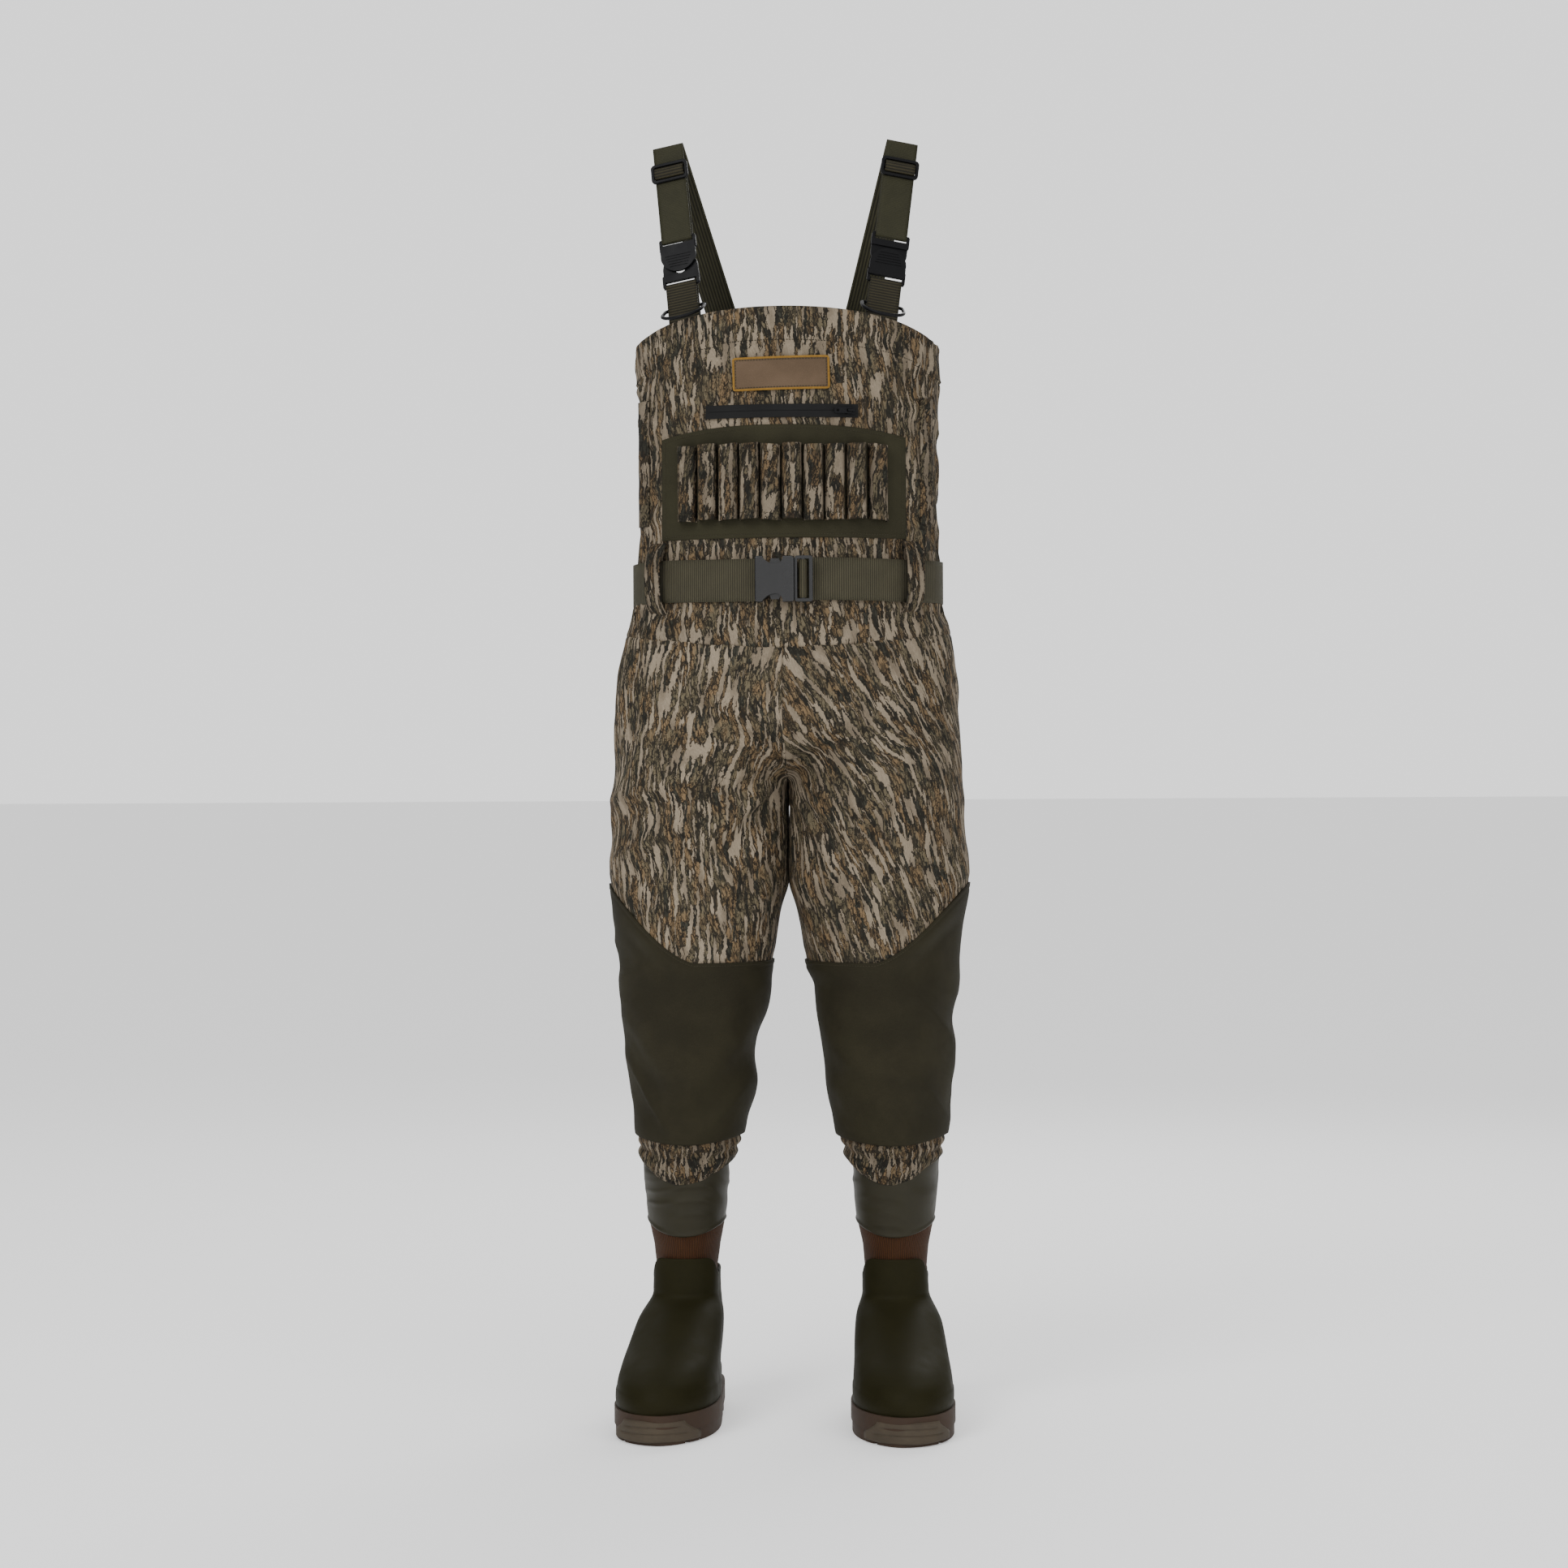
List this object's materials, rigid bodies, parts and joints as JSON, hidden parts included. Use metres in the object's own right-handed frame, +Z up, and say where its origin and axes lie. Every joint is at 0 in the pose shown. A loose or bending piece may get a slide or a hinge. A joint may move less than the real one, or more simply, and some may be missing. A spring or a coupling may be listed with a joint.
{
  "type": "chest waders",
  "caption": "Waterproof fishing and hunting overalls that reach the chest, with fitted rubber boots, shoulder straps, a belt and a chest shell holder.",
  "frame": {"origin": "on the floor, under the middle of the whole", "axes": "+Z up, the front faces -Y, +X towards the wearer's left"},
  "size_m": [0.424, 0.3681, 1.5235],
  "materials": {
    "camo": "matte woven, bark camouflage",
    "olive_cloth": "matte twill",
    "badge": "matte",
    "webbing": "ribbed webbing",
    "zip_tape": "satin",
    "dark_plastic": "satin",
    "boot_rubber": "satin",
    "sole_rubber": "matte",
    "stretch_band": "matte",
    "insole_foam": "matte"
  },
  "bodies": {
    "garment": {"bib_shell": "camo", "shell_panel": "olive_cloth", "shell_loops": "camo", "chest_badge": "badge", "inner_pocket": "olive_cloth", "back_yoke": "camo", "zipper_tape": "zip_tape", "belt_webbing": "webbing", "belt_loops": "camo", "buckle_case": "dark_plastic", "pocket_welt_left": "camo", "strap_left": "webbing", "hem_tab_left": "webbing", "ring_keeper_left": "webbing", "trouser_seat_left": "camo", "pocket_welt_right": "camo", "strap_right": "webbing", "hem_tab_right": "webbing", "ring_keeper_right": "webbing", "trouser_seat_right": "camo"},
    "zip_slider": {"zipper_slider": "dark_plastic"},
    "zip_pull": {"zipper_pull": "dark_plastic"},
    "buckle_male": {"buckle_frame": "dark_plastic", "belt_fold": "webbing"},
    "prong_upper": {"buckle_prong_upper": "dark_plastic"},
    "prong_lower": {"buckle_prong_lower": "dark_plastic"},
    "strap_slider_left": {"strap_slider_left": "dark_plastic", "slider_fold_left": "webbing"},
    "clip_upper_left": {"clip_upper_left": "dark_plastic"},
    "clip_lower_left": {"clip_lower_left": "dark_plastic"},
    "d_ring_left": {"d_ring_left": "dark_plastic"},
    "thigh_left": {"trouser_thigh_left": "camo", "knee_panel_left": "olive_cloth"},
    "shin_left": {"shin_panel_left": "olive_cloth", "cuff_left": "camo", "boot_top_band_left": "boot_rubber"},
    "boot_left": {"boot_foot_left": "boot_rubber", "boot_outsole_left": "sole_rubber", "boot_midsole_left": "sole_rubber", "boot_toe_guard_left": "sole_rubber", "boot_insole_left": "insole_foam", "boot_flex_band_left": "stretch_band"},
    "strap_slider_right": {"strap_slider_right": "dark_plastic", "slider_fold_right": "webbing"},
    "clip_upper_right": {"clip_upper_right": "dark_plastic"},
    "clip_lower_right": {"clip_lower_right": "dark_plastic"},
    "d_ring_right": {"d_ring_right": "dark_plastic"},
    "thigh_right": {"trouser_thigh_right": "camo", "knee_panel_right": "olive_cloth"},
    "shin_right": {"shin_panel_right": "olive_cloth", "cuff_right": "camo", "boot_top_band_right": "boot_rubber"},
    "boot_right": {"boot_foot_right": "boot_rubber", "boot_outsole_right": "sole_rubber", "boot_midsole_right": "sole_rubber", "boot_toe_guard_right": "sole_rubber", "boot_insole_right": "insole_foam", "boot_flex_band_right": "stretch_band"}
  },
  "joints": [
    {"name": "zipper_travel", "type": "hinge", "parent": "garment", "child": "zip_slider", "pos_m": [0, 0.217, 1.192], "axis": [0, 0, 1], "range_deg": [-33, 0]},
    {"name": "zipper_pull_lift", "type": "hinge", "parent": "zip_slider", "child": "zip_pull", "pos_m": [0.08178, -0.0556, 1.192], "axis": [0, 0, 1], "range_deg": [0, 150]},
    {"name": "buckle_slide", "type": "slide", "parent": "garment", "child": "buckle_male", "axis": [1, 0, 0], "range_m": [0, 0.034]},
    {"name": "buckle_prong_upper_squeeze", "type": "hinge", "parent": "buckle_male", "child": "prong_upper", "pos_m": [0.0088, -0.072, 1.01125], "axis": [0, 1, 0], "range_deg": [-6, 0], "stiffness_Nm_per_rad": 0.5},
    {"name": "buckle_prong_lower_squeeze", "type": "hinge", "parent": "buckle_male", "child": "prong_lower", "pos_m": [0.0088, -0.072, 0.97675], "axis": [0, 1, 0], "range_deg": [0, 6], "stiffness_Nm_per_rad": 0.5},
    {"name": "strap_slider_travel_left", "type": "slide", "parent": "garment", "child": "strap_slider_left", "axis": [0.1072, 0.2494, 0.9625], "range_m": [-0.06, 0.008]},
    {"name": "clip_upper_lift_left", "type": "hinge", "parent": "garment", "child": "clip_upper_left", "pos_m": [0.12791, 0.01356, 1.4075], "axis": [-0.963, -0.2146, 0.1629], "range_deg": [-30, 0]},
    {"name": "clip_lower_lift_left", "type": "hinge", "parent": "garment", "child": "clip_lower_left", "pos_m": [0.12148, -0.0014, 1.34975], "axis": [0.963, 0.2146, -0.1629], "range_deg": [0, 60]},
    {"name": "d_ring_swing_left", "type": "hinge", "parent": "garment", "child": "d_ring_left", "pos_m": [0.11701, -0.00178, 1.32282], "axis": [0.963, 0.2146, -0.1629], "range_deg": [-12, 3]},
    {"name": "strap_slider_travel_right", "type": "slide", "parent": "garment", "child": "strap_slider_right", "axis": [-0.1072, 0.2494, 0.9625], "range_m": [-0.06, 0.008]},
    {"name": "clip_upper_lift_right", "type": "hinge", "parent": "garment", "child": "clip_upper_right", "pos_m": [-0.12791, 0.01356, 1.4075], "axis": [-0.963, 0.2146, -0.1629], "range_deg": [0, 60]},
    {"name": "clip_lower_lift_right", "type": "hinge", "parent": "garment", "child": "clip_lower_right", "pos_m": [-0.12148, -0.0014, 1.34975], "axis": [0.963, -0.2146, 0.1629], "range_deg": [-30, 0]},
    {"name": "d_ring_swing_right", "type": "hinge", "parent": "garment", "child": "d_ring_right", "pos_m": [-0.11701, -0.00178, 1.32282], "axis": [0.963, -0.2146, 0.1629], "range_deg": [-12, 3]},
    {"name": "hip_left", "type": "hinge", "parent": "garment", "child": "thigh_left", "pos_m": [0.107, 0.056, 0.85], "axis": [1, 0, 0], "range_deg": [-50, 12], "deforming": ["trouser_seat_left"]},
    {"name": "knee_left", "type": "hinge", "parent": "thigh_left", "child": "shin_left", "pos_m": [0.1165, 0.056, 0.48], "axis": [1, 0, 0], "range_deg": [0, 70], "deforming": ["knee_panel_left"]},
    {"name": "ankle_left", "type": "hinge", "parent": "shin_left", "child": "boot_left", "pos_m": [0.126, 0.056, 0.196], "axis": [1, 0, 0], "range_deg": [-15, 12], "deforming": ["boot_flex_band_left"]},
    {"name": "hip_right", "type": "hinge", "parent": "garment", "child": "thigh_right", "pos_m": [-0.107, 0.056, 0.85], "axis": [1, 0, 0], "range_deg": [-50, 12], "deforming": ["trouser_seat_right"]},
    {"name": "knee_right", "type": "hinge", "parent": "thigh_right", "child": "shin_right", "pos_m": [-0.1165, 0.056, 0.48], "axis": [1, 0, 0], "range_deg": [0, 70], "deforming": ["knee_panel_right"]},
    {"name": "ankle_right", "type": "hinge", "parent": "shin_right", "child": "boot_right", "pos_m": [-0.126, 0.056, 0.196], "axis": [1, 0, 0], "range_deg": [-15, 12], "deforming": ["boot_flex_band_right"]}
  ],
  "couplings": [
    {"joint": "buckle_prong_lower_squeeze", "follows": "buckle_prong_upper_squeeze", "ratio": -1}
  ]
}
